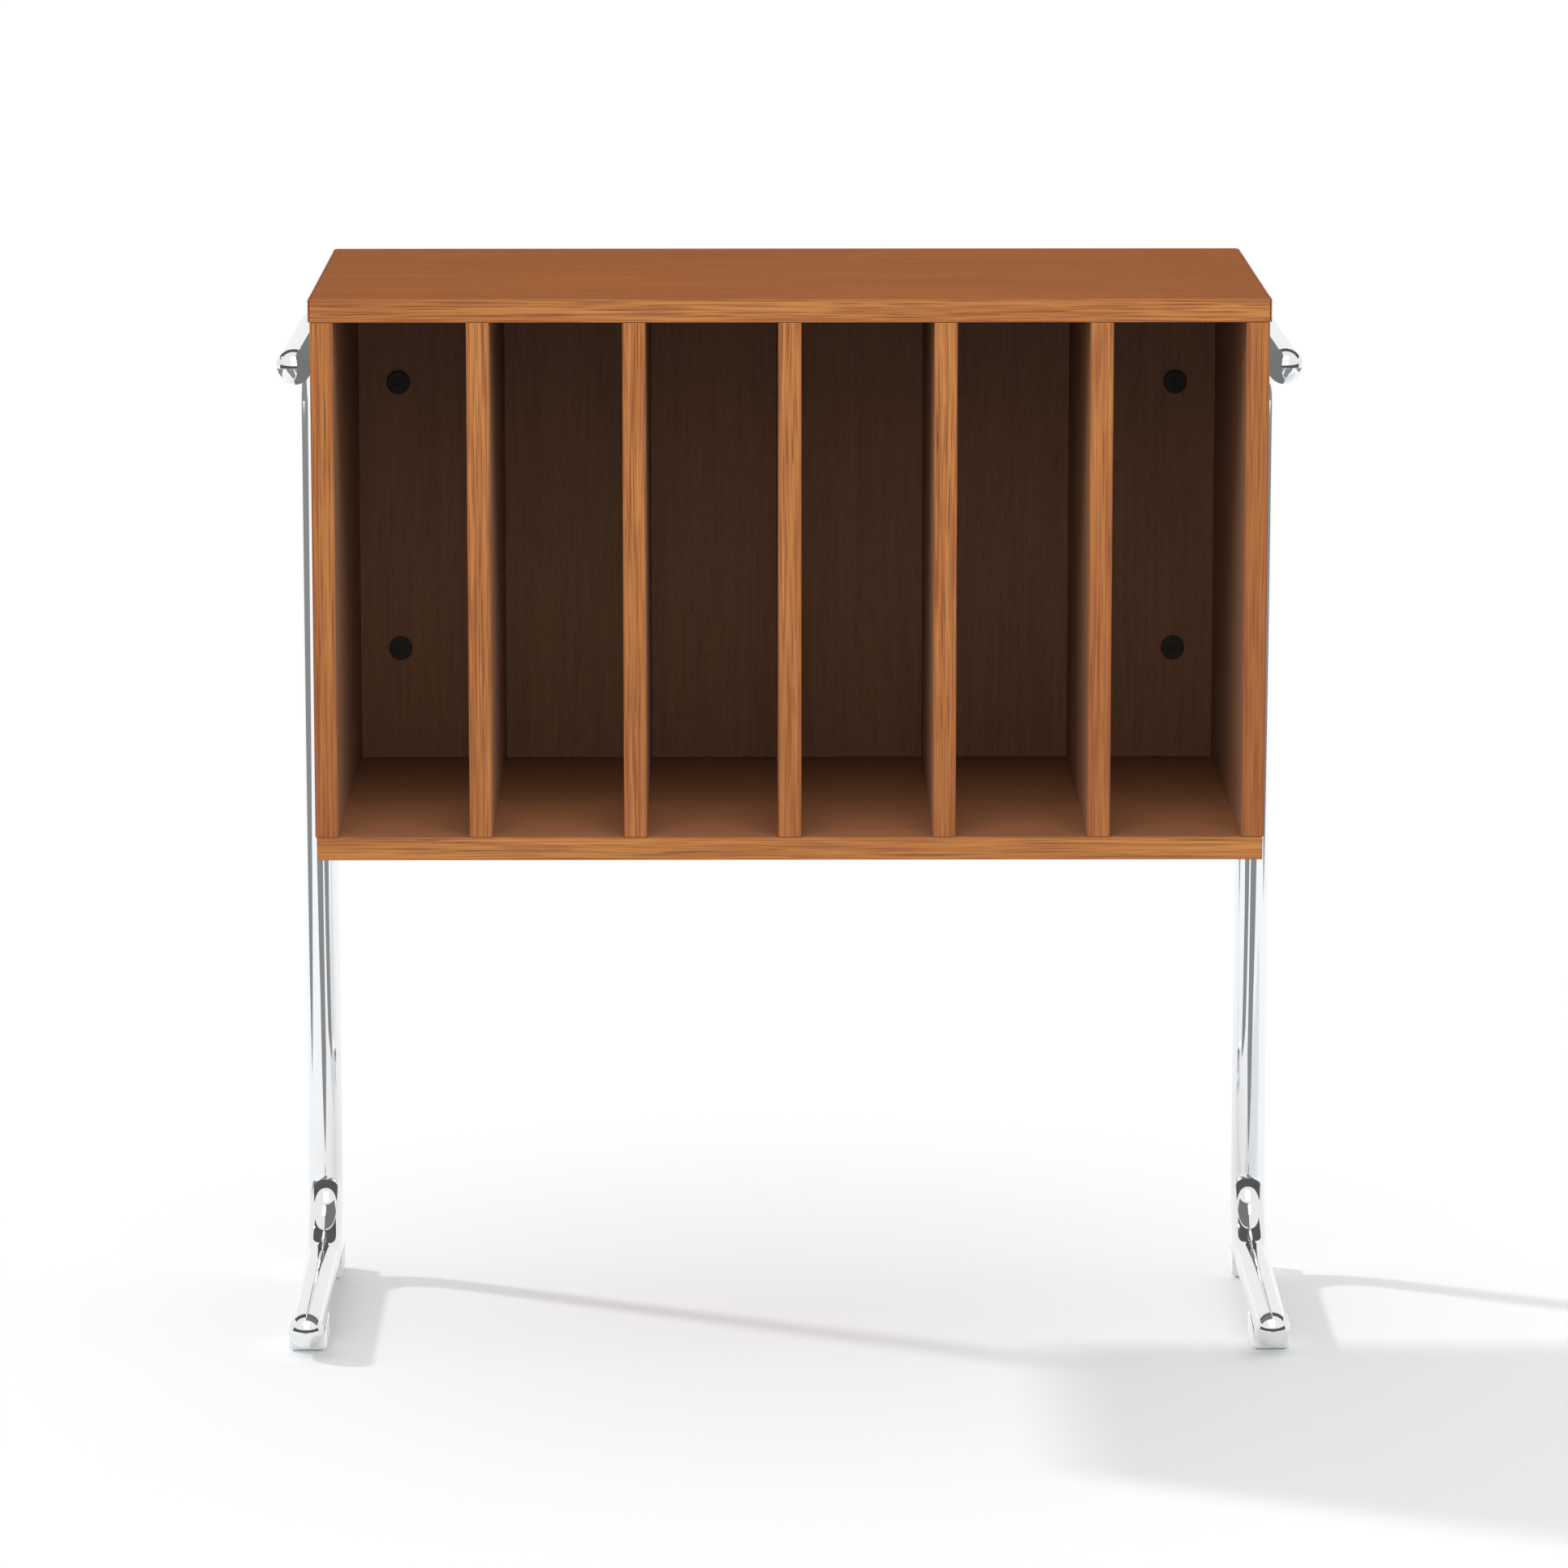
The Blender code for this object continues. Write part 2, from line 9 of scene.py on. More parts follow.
import bmesh
import bpy
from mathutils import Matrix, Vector


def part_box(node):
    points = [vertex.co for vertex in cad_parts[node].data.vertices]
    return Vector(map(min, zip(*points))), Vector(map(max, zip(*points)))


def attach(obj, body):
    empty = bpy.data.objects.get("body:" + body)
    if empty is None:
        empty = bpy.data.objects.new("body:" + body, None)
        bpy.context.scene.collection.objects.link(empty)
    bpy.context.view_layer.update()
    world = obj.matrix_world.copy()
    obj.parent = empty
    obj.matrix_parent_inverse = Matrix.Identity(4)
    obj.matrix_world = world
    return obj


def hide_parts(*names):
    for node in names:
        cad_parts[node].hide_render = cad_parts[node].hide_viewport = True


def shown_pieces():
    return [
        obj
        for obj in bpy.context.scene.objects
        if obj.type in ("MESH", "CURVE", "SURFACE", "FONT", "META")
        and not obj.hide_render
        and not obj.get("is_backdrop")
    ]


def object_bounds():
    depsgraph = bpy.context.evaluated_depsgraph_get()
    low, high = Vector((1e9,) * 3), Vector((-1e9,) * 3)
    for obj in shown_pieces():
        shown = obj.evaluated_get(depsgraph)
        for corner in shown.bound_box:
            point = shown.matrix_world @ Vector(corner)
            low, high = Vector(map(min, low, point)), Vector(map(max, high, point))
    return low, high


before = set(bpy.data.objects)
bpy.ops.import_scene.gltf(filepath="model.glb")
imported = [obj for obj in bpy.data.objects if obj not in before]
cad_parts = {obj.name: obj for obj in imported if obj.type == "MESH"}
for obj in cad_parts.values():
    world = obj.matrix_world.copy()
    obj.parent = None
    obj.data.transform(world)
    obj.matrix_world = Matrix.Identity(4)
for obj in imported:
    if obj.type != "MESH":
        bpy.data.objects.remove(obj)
cad_low, cad_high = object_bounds()

MM = 0.001
QUARTER = math.pi / 2
SIDES = ("left", "right")
LEVELS = ("upper", "lower")
PLACES = ("front", "rear")
DIVIDERS = range(1, 6)

# Tube frames and glides
TUBE_WALL = 1.5 * MM
BEND_RADIUS = 57.0 * MM
SPIGOT = 7.0 * MM
PEG_RADIUS = 3.0 * MM
PEG_BEHIND_FRONT = 10.0 * MM
PEG_ABOVE_FLOOR = 4.0 * MM
GLIDE_BELLY = 4.0 * MM
GLIDE_CORNER = 1.2 * MM
GLIDE_LIP = 0.35 * MM

# Fixings
BOLT_RADIUS = 3.0 * MM
BOLT_HEAD = 3.0 * MM
BOLT_HEAD_EASE = 0.6 * MM
BOLT_TIP = 0.5 * MM
BOLT_TIP_TAPER = 0.8
SOCKET_HALF_WIDTH = 2.0 * MM
SOCKET_DEPTH = 2.0 * MM
NUT_CHAMFER = 0.7 * MM
NUT_TURNING = 1.002
BRACKET_EASE = 0.4 * MM
CAP_EASE = 0.5 * MM

# Boards and edge strips
BOARD_EASE = 0.5 * MM
STRIP_EASE = 0.38 * MM
ROW_CORNER = 0.45 * MM
UPRIGHT_CORNER = 0.8 * MM

# The gap at a close fit, what counts as touching, and how finely round shapes are made
SEAM = 0.3 * MM
TOUCH = 0.01 * MM
DOUBLED = 0.001 * MM
TUBE_SIDES = 72
BEND_STEPS = 28
DOME_RINGS = 36
BOLT_SIDES = 64
HOLE_SIDES = 32


# ---------------------------------------------------------------- modelling


def clear_selection():
    """Leave edit mode with nothing selected."""
    if bpy.context.mode != "OBJECT":
        bpy.ops.object.mode_set(mode="OBJECT")
    bpy.ops.object.select_all(action="DESELECT")


def take(piece):
    """Make one piece the only thing selected."""
    clear_selection()
    piece.select_set(True)
    bpy.context.view_layer.objects.active = piece


def fix_place(piece):
    """Move a piece's place, turn and size into its mesh."""
    take(piece)
    bpy.ops.object.transform_apply(location=True, rotation=True, scale=True)


def begin(name, shape, **settings):
    """Add a primitive at its size and place, and name it."""
    clear_selection()
    getattr(bpy.ops.mesh, f"primitive_{shape}_add")(**settings)
    piece = bpy.context.object
    piece.name = name
    piece.data.name = name
    fix_place(piece)
    return piece


def block(name, low, high):
    """A block between two corners, ready to be shaped."""
    low, high = Vector(low), Vector(high)
    return begin(name, "cube", size=1.0, location=(low + high) / 2, scale=high - low)


def rod(name, centre, radius, length, axis, sides):
    """A round or hexagonal bar along one axis, ready to be shaped."""
    turn = {"X": (0, QUARTER, 0), "Y": (QUARTER, 0, 0), "Z": (0, 0, 0)}[axis]
    return begin(
        name,
        "cylinder",
        vertices=sides,
        radius=radius,
        depth=length,
        location=centre,
        rotation=turn,
    )


def merged_copy(name, node):
    """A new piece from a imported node's shape, its triangles joined into whole faces."""
    piece = bpy.data.objects.new(name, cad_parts[node].data.copy())
    piece.data.name = name
    piece.data.materials.clear()
    bpy.context.scene.collection.objects.link(piece)
    take(piece)
    bpy.ops.mesh.customdata_custom_splitnormals_clear()
    shape(piece)
    merge_corners(DOUBLED)
    bpy.ops.mesh.dissolve_limited(angle_limit=math.radians(0.5))
    clear_selection()
    return piece


def copied(piece, name, shift):
    """The same piece again, moved, with a mesh of its own."""
    made = bpy.data.objects.new(name, piece.data.copy())
    made.data.name = name
    bpy.context.scene.collection.objects.link(made)
    made.location = shift
    fix_place(made)
    return made


def shape(piece):
    """Open a piece for shaping, with nothing on it selected."""
    take(piece)
    bpy.ops.object.mode_set(mode="EDIT")
    bpy.ops.mesh.select_all(action="DESELECT")


def select_whole():
    """Select all of the open piece."""
    bpy.ops.mesh.select_all(action="SELECT")


def merge_corners(reach):
    """Merge the open piece's doubled corners, and leave all of it selected."""
    select_whole()
    bpy.ops.mesh.remove_doubles(threshold=reach)
    select_whole()


def pull(vector):
    """Extrude what is selected by a distance along each axis."""
    bpy.ops.mesh.extrude_region_move(TRANSFORM_OT_translate={"value": vector})


def pick(kind, test):
    """Select the faces, edges or corners of the open piece that pass a test."""
    bpy.ops.mesh.select_mode(type=kind)
    bpy.ops.mesh.select_all(action="DESELECT")
    mesh = bmesh.from_edit_mesh(bpy.context.object.data)
    mesh.normal_update()
    for part in {"FACE": mesh.faces, "EDGE": mesh.edges, "VERT": mesh.verts}[kind]:
        if test(part):
            part.select_set(True)
    mesh.select_flush_mode()
    bmesh.update_edit_mesh(bpy.context.object.data)


def is_sharp(edge, angle=40.0):
    """Whether an edge is a real corner of the shape."""
    return len(edge.link_faces) == 2 and edge.calc_face_angle() > math.radians(angle)


def ease_edges(width, test, segments=2):
    """Round the edges of the open piece that pass a test."""
    pick("EDGE", test)
    bpy.ops.mesh.bevel(
        offset=width, segments=segments, profile=0.5, affect="EDGES", clamp_overlap=True
    )


def apply_modifier(piece, kind, **settings):
    """Add a modifier to a piece and apply it."""
    take(piece)
    modifier = piece.modifiers.new(kind.title(), kind)
    for key, value in settings.items():
        setattr(modifier, key, value)
    bpy.ops.object.modifier_apply(modifier=modifier.name)


def cut_out(piece, tool):
    """Cut a tool's shape out of a piece and throw the tool away."""
    apply_modifier(
        piece, "BOOLEAN", operation="DIFFERENCE", solver="EXACT", object=tool
    )
    bpy.data.objects.remove(tool, do_unlink=True)


def join_on(piece, other):
    """Make another shape one body with a piece."""
    apply_modifier(piece, "BOOLEAN", operation="UNION", solver="EXACT", object=other)
    bpy.data.objects.remove(other, do_unlink=True)


def fit(piece, look, node, angle=30.0, flat=True):
    """Finish a piece: its shading and its material; the imported node that it stands for
    is hidden, and it joins the root body.

    It is shaded smoothly across all but its real edges. On a flat piece the broad faces
    also stay evenly lit up to their eased edges.
    """
    take(piece)
    bpy.ops.object.shade_smooth_by_angle(angle=math.radians(angle))
    if flat:
        apply_modifier(piece, "WEIGHTED_NORMAL", keep_sharp=True, weight=80)
    piece.data.materials.clear()
    piece.data.materials.append(look)
    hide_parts(node)
    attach(piece, "root")


def dress(look, *nodes):
    """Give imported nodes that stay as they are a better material."""
    for node in nodes:
        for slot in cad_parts[node].material_slots:
            slot.material = look


# ---------------------------------------------------------------- finishes


class Wire:
    """A node socket that can be used in sums, and the way to any other node."""

    def __init__(self, tree, socket=None):
        self.tree = tree
        self.socket = socket

    def node(self, kind, settings=None, values=None, output=0):
        """Add a node: its settings first, then the values or wires of its sockets."""
        made = self.tree.nodes.new(kind)
        for key, value in (settings or {}).items():
            setattr(made, key, value)
        for key, value in (values or {}).items():
            self.feed(made.inputs[key], value)
        return Wire(self.tree, made.outputs[output])

    def feed(self, socket, value):
        """Set a socket to a value, or wire it."""
        if isinstance(value, Wire):
            self.tree.links.new(value.socket, socket)
        elif socket.type == "RGBA" and len(value) == 3:
            socket.default_value = (*value, 1.0)
        else:
            socket.default_value = value

    def sum(self, operation, *values):
        return self.node(
            "ShaderNodeMath", {"operation": operation}, dict(enumerate(values))
        )

    def __add__(self, other):
        return self.sum("ADD", self, other)

    def __sub__(self, other):
        return self.sum("SUBTRACT", self, other)

    def __mul__(self, other):
        return self.sum("MULTIPLY", self, other)

    def __radd__(self, other):
        return self.sum("ADD", other, self)

    def __rsub__(self, other):
        return self.sum("SUBTRACT", other, self)

    def __rmul__(self, other):
        return self.sum("MULTIPLY", other, self)

    def __abs__(self):
        return self.sum("ABSOLUTE", self)


def new_finish(name, **values):
    """A material with its even values set, and the wire that its nodes start from."""
    material = bpy.data.materials.new(name)
    material.use_nodes = True
    shader = material.node_tree.nodes["Principled BSDF"]
    for key, value in values.items():
        shader.inputs[key.replace("_", " ")].default_value = value
    return material, Wire(material.node_tree)


def paint(material, **wires):
    """Wire what changes over the surface to the material's shader."""
    shader = material.node_tree.nodes["Principled BSDF"]
    for key, wire in wires.items():
        wire.feed(shader.inputs[key.replace("_", " ")], wire)


def object_space(wire):
    """Where a point is on the rack, in metres."""
    return wire.node("ShaderNodeTexCoord", output="Object")


def part_of(space, axis):
    """One axis of a space."""
    return space.node("ShaderNodeSeparateXYZ", {}, {0: space}, axis)


def stretched(space, scale):
    """A space scaled along each of its axes."""
    return space.node(
        "ShaderNodeVectorMath", {"operation": "MULTIPLY"}, {0: space, 1: scale}
    )


def noise(space, scale, detail=2.0, roughness=0.5):
    """Soft noise with its own number of patches to the metre along each axis."""
    return space.node(
        "ShaderNodeTexNoise",
        {},
        {
            "Vector": stretched(space, scale),
            "Scale": 1.0,
            "Detail": detail,
            "Roughness": roughness,
        },
    )


def ramp(value, low, high):
    """0 up to low, 1 from high, and a soft step between them."""
    return value.node(
        "ShaderNodeMapRange",
        {"interpolation_type": "SMOOTHSTEP"},
        {"Value": value, "From Min": low, "From Max": high},
    )


def tint(amount, first, second):
    """A colour that goes from the first to the second."""
    return amount.node(
        "ShaderNodeMix", {"data_type": "RGBA"}, {0: amount, 6: first, 7: second}, 2
    )


def relief(height, strength, depth):
    """A surface that follows a height."""
    return height.node(
        "ShaderNodeBump",
        {},
        {"Height": height, "Strength": strength, "Distance": depth},
    )


def grain_space(wire, along, shift, wander):
    """The rack's space turned so that the grain runs along X, and wanders across it."""
    turn = {"X": (0, 0, 0), "Y": (0, 0, -QUARTER), "Z": (0, QUARTER, 0)}[along]
    turned = wire.node(
        "ShaderNodeMapping",
        {},
        {"Vector": object_space(wire), "Location": shift, "Rotation": turn},
    )
    drift = wire.node(
        "ShaderNodeTexNoise",
        {},
        {"Vector": stretched(turned, (7.0, 22.0, 22.0)), "Scale": 1.0, "Detail": 1.0},
        output=1,
    )
    return wire.node(
        "ShaderNodeVectorMath",
        {"operation": "MULTIPLY_ADD"},
        {0: drift, 1: (0.0, wander, wander), 2: turned},
    )


# The pale, deep and pore tones of one veneer, given a lighter or darker set for the top,
# the shelf, the case and the faces inside the bays to match how light falls on each:
# painted light and shade
TOP_PAINTED_LIGHT_TONES = ((0.206, 0.067, 0.016), (0.146, 0.045, 0.011), (0.070, 0.020, 0.006))
SHELF_PAINTED_LIGHT_TONES = ((0.265, 0.108, 0.048), (0.212, 0.084, 0.037), (0.108, 0.040, 0.020))
CASE_PAINTED_LIGHT_TONES = ((0.270, 0.096, 0.036), (0.195, 0.066, 0.026), (0.090, 0.028, 0.013))
BAY_PAINTED_LIGHT_TONES = ((0.372, 0.182, 0.088), (0.287, 0.136, 0.065), (0.140, 0.062, 0.031))
HAZE = 0.015


def veneer(name, along, seed, gloss, rough, tones, haze=0.0, painted_bay_light=None):
    """Fine straight-grained veneer under a satin lacquer.

    Where inner is an axis and a limit, the faces nearer the middle than the limit have
    the paler, greyer tones of the bays, painted light that stands in for the light and
    reflection inside them.
    """
    pale, deep, pore = tones
    material, wire = new_finish(
        name, Specular_IOR_Level=gloss, IOR=1.5, Sheen_Weight=haze, Sheen_Roughness=0.5
    )
    shift = (0.37 * seed, 0.53 * seed, 0.71 * seed)
    space = grain_space(wire, along, shift, 1.6 * MM)
    figure = noise(space, (3.2, 13.0, 13.0), detail=3.0, roughness=0.6)
    bands = noise(space, (5.0, 150.0, 150.0), detail=3.0, roughness=0.62)
    fibres = noise(space, (26.0, 900.0, 900.0), detail=2.0, roughness=0.55)
    pores = ramp(noise(space, (75.0, 1900.0, 1900.0), detail=1.0), 0.60, 0.74)
    tone = figure * 0.35 + bands * 0.60 + fibres * 0.55
    share = ramp(tone, 0.49, 1.01)
    # Painted light: the faces inside the bays take the paler, greyer bay tones in place
    # of the light and reflection that fall there
    body = tint(share, deep, pale)
    if painted_bay_light is not None:
        axis, limit = painted_bay_light
        across = abs(part_of(object_space(wire), axis))
        outside = ramp(across, limit + 0.2 * MM, limit + 0.6 * MM)
        body = tint(outside, tint(share, BAY_PAINTED_LIGHT_TONES[1], BAY_PAINTED_LIGHT_TONES[0]), body)
    colour = tint(pores * 0.42, body, pore)
    paint(
        material,
        Base_Color=colour,
        Roughness=rough + figure * 0.10 + pores * 0.12,
        Normal=relief(fibres * 0.5 - pores, 0.18, 0.12 * MM),
    )
    return material


def edge_veneer(
    name, along, seed, centre, half, warm=0.0, low_painted_shade=0.0, streaks=1.0
):
    """Golden edge banding with red-brown streaks along it, redder at its arrises.

    The centre and half width are across the strip: on X for one that stands, and on Z
    for one that lies. It is redder all over by warm, and by low_painted_shade towards its
    foot, where that redder, darker tone is painted shade.
    """
    material, wire = new_finish(name, Specular_IOR_Level=0.24, IOR=1.5)
    shift = (0.41 * seed, 0.29 * seed, 0.67 * seed)
    space = grain_space(wire, along, shift, 2.2 * MM)
    cloud = noise(space, (6.0, 45.0, 45.0), detail=2.0)
    broad = ramp(noise(space, (9.0, 420.0, 420.0), 3.0, 0.6), 0.42, 0.66)
    fine = ramp(noise(space, (15.0, 1100.0, 1100.0), 2.0, 0.55), 0.47, 0.66)
    lines = ramp(noise(space, (11.0, 1500.0, 1500.0), 1.0, 0.5), 0.58, 0.70)
    gold = tint(
        ramp(cloud, 0.30, 0.70), (0.375, 0.146, 0.035), (0.440, 0.182, 0.047)
    )
    orange = tint(broad * (0.75 * streaks), gold, (0.262, 0.080, 0.021))
    brown = tint(fine * (0.78 * streaks), orange, (0.185, 0.052, 0.017))
    dark = tint(lines * (0.80 * streaks), brown, (0.085, 0.022, 0.010))
    place = object_space(wire)
    across = part_of(place, "X" if along == "Z" else "Z")
    rim = ramp(abs(across - centre), half - 2.2 * MM, half - 0.3 * MM)
    # Painted shade: a standing strip turns redder and darker towards its foot, in place
    # of the lesser light low down
    painted_shade_low = 1 - ramp(part_of(place, "Z"), 0.36, 0.76)
    red = tint(rim * 0.40 + warm + painted_shade_low * low_painted_shade, dark, (0.215, 0.058, 0.018))
    paint(
        material,
        Base_Color=red,
        Roughness=0.38 + broad * 0.08 + lines * 0.10,
        Normal=relief(0.5 * fine + lines, 0.16, -0.10 * MM),
    )
    return material


def chrome_plate():
    """Bright chrome: almost a mirror, with faint polishing and handling marks."""
    material, wire = new_finish("chrome_plate", Metallic=1.0)
    space = object_space(wire)
    haze = noise(space, (9.0, 9.0, 9.0), 3.0, 0.6)
    polish = noise(space, (240.0, 240.0, 18.0), 2.0)
    ripple = noise(space, (38.0, 38.0, 11.0), 1.0)
    paint(
        material,
        Base_Color=tint(haze, (0.83, 0.84, 0.855), (0.90, 0.905, 0.915)),
        Roughness=0.015 + ramp(haze, 0.35, 0.80) * 0.035 + polish * 0.02,
        Normal=relief(ripple, 0.05, 0.3 * MM),
    )
    return material


def plated_steel():
    """Blue-white zinc plate with a soft crystalline mottle."""
    material, wire = new_finish("zinc_plate", Metallic=1.0)
    space = object_space(wire)
    mottle = noise(space, (900.0, 900.0, 900.0), 3.0, 0.6)
    patch = noise(space, (160.0, 160.0, 160.0), 2.0)
    paint(
        material,
        Base_Color=tint(patch, (0.50, 0.52, 0.55), (0.66, 0.66, 0.63)),
        Roughness=0.28 + mottle * 0.18,
        Normal=relief(mottle, 0.10, 0.05 * MM),
    )
    return material


def black_oxide():
    """Oil-blacked steel, a little worn."""
    material, wire = new_finish("black_oxide", Specular_IOR_Level=0.35)
    space = object_space(wire)
    mottle = noise(space, (700.0, 700.0, 700.0), 3.0, 0.6)
    worn = ramp(noise(space, (260.0, 260.0, 260.0), 2.0), 0.60, 0.80)
    paint(
        material,
        Base_Color=tint(worn, (0.034, 0.038, 0.036), (0.070, 0.073, 0.070)),
        Metallic=worn * 0.5,
        Roughness=0.42 + mottle * 0.15,
        Normal=relief(mottle, 0.12, 0.05 * MM),
    )
    return material


def milky_plastic():
    """Milky white moulded plastic."""
    material, wire = new_finish("milky_plastic", Specular_IOR_Level=0.45)
    space = object_space(wire)
    cloud = noise(space, (70.0, 70.0, 70.0), 2.0)
    skin = noise(space, (1500.0, 1500.0, 1500.0), 2.0)
    paint(
        material,
        Base_Color=tint(cloud, (0.84, 0.845, 0.84), (0.92, 0.92, 0.915)),
        Roughness=0.30 + cloud * 0.10,
        Normal=relief(skin, 0.06, 0.05 * MM),
    )
    return material


def beech():
    """Plain beech with short flecks, for the dowels."""
    material, wire = new_finish("dowel_beech", Specular_IOR_Level=0.3)
    space = grain_space(wire, "Z", (0.0, 0.0, 0.0), 0.5 * MM)
    fibres = noise(space, (60.0, 1500.0, 1500.0), 2.0)
    flecks = ramp(noise(space, (220.0, 1700.0, 1700.0), 1.0), 0.58, 0.70)
    body = tint(fibres, (0.46, 0.29, 0.15), (0.60, 0.41, 0.23))
    paint(
        material,
        Base_Color=tint(flecks * 0.5, body, (0.33, 0.18, 0.09)),
        Roughness=0.60 + fibres * 0.15,
        Normal=relief(fibres, 0.2, 0.1 * MM),
    )
    return material


CHROME = chrome_plate()
ZINC = plated_steel()
BLACK = black_oxide()
PLASTIC = milky_plastic()
BEECH = beech()



# ---------------------------------------------------------------- case


def on_outline(edge, low, high):
    """Whether an edge lies along one of the twelve edges of a board's own box."""
    flush = sum(
        all(abs(v.co[axis] - side[axis]) < TOUCH for v in edge.verts)
        for axis in range(3)
        for side in (low, high)
    )
    return flush >= 2


def eased_board(node, look):
    """A board with its outer arrises rubbed down."""
    low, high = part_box(node)
    board = merged_copy(node + "_veneered", node)
    shape(board)
    ease_edges(BOARD_EASE, lambda edge: on_outline(edge, low, high))
    fit(board, look, node)


# Each board takes its own veneer tones, lighter or darker to match how light falls on it:
# painted light and shade
eased_board("top_board", veneer("top_veneer", "X", 1.0, 0.003, 0.42, TOP_PAINTED_LIGHT_TONES))
eased_board("bottom_board", veneer("bottom_veneer", "X", 2.0, 0.5, 0.32, SHELF_PAINTED_LIGHT_TONES))
for number, side in enumerate(SIDES):
    eased_board(
        f"side_panel_{side}",
        veneer(
            f"side_veneer_{side}",
            "Z",
            3.0 + number,
            0.30,
            0.36,
            CASE_PAINTED_LIGHT_TONES,
            haze=HAZE,
            painted_bay_light=("X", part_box("side_panel_right")[0].x),
        ),
    )
for number in DIVIDERS:
    look = veneer(
        f"divider_veneer_{number}", "Z", 5.0 + number, 0.16, 0.46, BAY_PAINTED_LIGHT_TONES, haze=HAZE
    )
    dress(look, f"divider_{number}")
dress(
    veneer(
        "back_veneer",
        "Z",
        11.0,
        0.20,
        0.40,
        CASE_PAINTED_LIGHT_TONES,
        painted_bay_light=("Y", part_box("back_panel")[0].y),
    ),
    "back_panel",
)


def edge_strip(name, node, corner):
    """A strip of edge banding, its corners trimmed and its arrises rubbed down."""
    low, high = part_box(node)
    strip = block(name, low, high)
    thin = min(range(3), key=lambda axis: high[axis] - low[axis])
    shape(strip)
    ease_edges(
        corner,
        lambda edge: abs(edge.verts[0].co[thin] - edge.verts[1].co[thin]) > 0.5 * MM,
        segments=3,
    )
    ease_edges(STRIP_EASE, is_sharp, segments=3)
    clear_selection()
    return strip


def strip_look(node, along, seed, warm, low_painted_shade=0.0, streaks=1.0):
    """Edge veneer centred on the strip that it covers."""
    low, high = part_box(node)
    axis = 0 if along == "Z" else 2
    centre = (low[axis] + high[axis]) / 2
    half = (high[axis] - low[axis]) / 2
    return edge_veneer(
        f"{node}_veneer", along, seed, centre, half, warm, low_painted_shade, streaks
    )


for number, (node, along) in enumerate(
    (
        ("band_top", "X"),
        ("band_bottom", "X"),
        ("band_top_left", "Y"),
        ("band_top_right", "Y"),
    )
):
    strip = edge_strip(f"{node}_strip", node, ROW_CORNER)
    warm, streaks = (0.0, 0.8) if node == "band_bottom" else (0.10, 1.0)
    look = strip_look(node, along, 31.0 + number, warm, streaks=streaks)
    fit(strip, look, node)

# The uprights are one strip, copied, and redder to the right, each with painted shade
# that makes it redder and darker towards its foot
upright_nodes = [f"band_side_{side}" for side in SIDES]
upright_nodes += [f"band_divider_{number}" for number in DIVIDERS]
first_strip = edge_strip("upright_strip", upright_nodes[0], UPRIGHT_CORNER)
first_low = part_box(upright_nodes[0])[0]
for number, node in enumerate(upright_nodes):
    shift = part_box(node)[0] - first_low
    warm = {"band_side_right": 0.30, "band_divider_5": 0.20}.get(node, 0.10)
    fit(
        copied(first_strip, f"{node}_strip", shift),
        strip_look(node, "Z", 6.0 + number, warm, 0.22),
        node,
    )
bpy.data.objects.remove(first_strip, do_unlink=True)


# ---------------------------------------------------------------- tube frames


def middle(node):
    """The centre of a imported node's box."""
    low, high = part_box(node)
    return (low + high) / 2


frame_low, frame_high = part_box("side_frame_left")
TUBE_RADIUS = (frame_high.x - frame_low.x) / 2
LEFT_X = (frame_low.x + frame_high.x) / 2
RIGHT_X = middle("side_frame_right").x
ARM_Z = frame_high.z - TUBE_RADIUS
FOOT_Z = frame_low.z + TUBE_RADIUS
UPRIGHT_Y = frame_high.y - TUBE_RADIUS
ARM_END_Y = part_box("arm_end_left")[0].y + TUBE_RADIUS + SEAM
FOOT_END_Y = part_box("foot_end_left")[0].y + TUBE_RADIUS + SEAM
BEND_Y = UPRIGHT_Y - BEND_RADIUS


def bent_tube(name, x):
    """The frame's tube: back along the arm, bent down, and forward along the foot."""
    tube = begin(
        name,
        "circle",
        vertices=TUBE_SIDES,
        radius=TUBE_RADIUS,
        location=(x, ARM_END_Y, ARM_Z),
        rotation=(QUARTER, 0, 0),
    )
    shape(tube)
    select_whole()

    def bend(height):
        bpy.ops.mesh.spin(
            steps=BEND_STEPS,
            angle=QUARTER,
            center=(x, BEND_Y, height),
            axis=(1, 0, 0),
        )

    upper_bend = ARM_Z - BEND_RADIUS
    lower_bend = FOOT_Z + BEND_RADIUS
    pull((0, BEND_Y - ARM_END_Y, 0))
    bend(upper_bend)
    pull((0, 0, lower_bend - upper_bend))
    bend(lower_bend)
    pull((0, FOOT_END_Y - BEND_Y, 0))
    merge_corners(DOUBLED)
    bpy.ops.mesh.normals_make_consistent(inside=False)
    mesh = bmesh.from_edit_mesh(tube.data)
    mesh.normal_update()
    outermost = max(mesh.faces, key=lambda face: face.calc_center_median().x)
    if outermost.normal.x < 0:
        bpy.ops.mesh.flip_normals()
    clear_selection()
    apply_modifier(tube, "SOLIDIFY", thickness=TUBE_WALL, offset=-1.0, use_rim=True)
    return tube


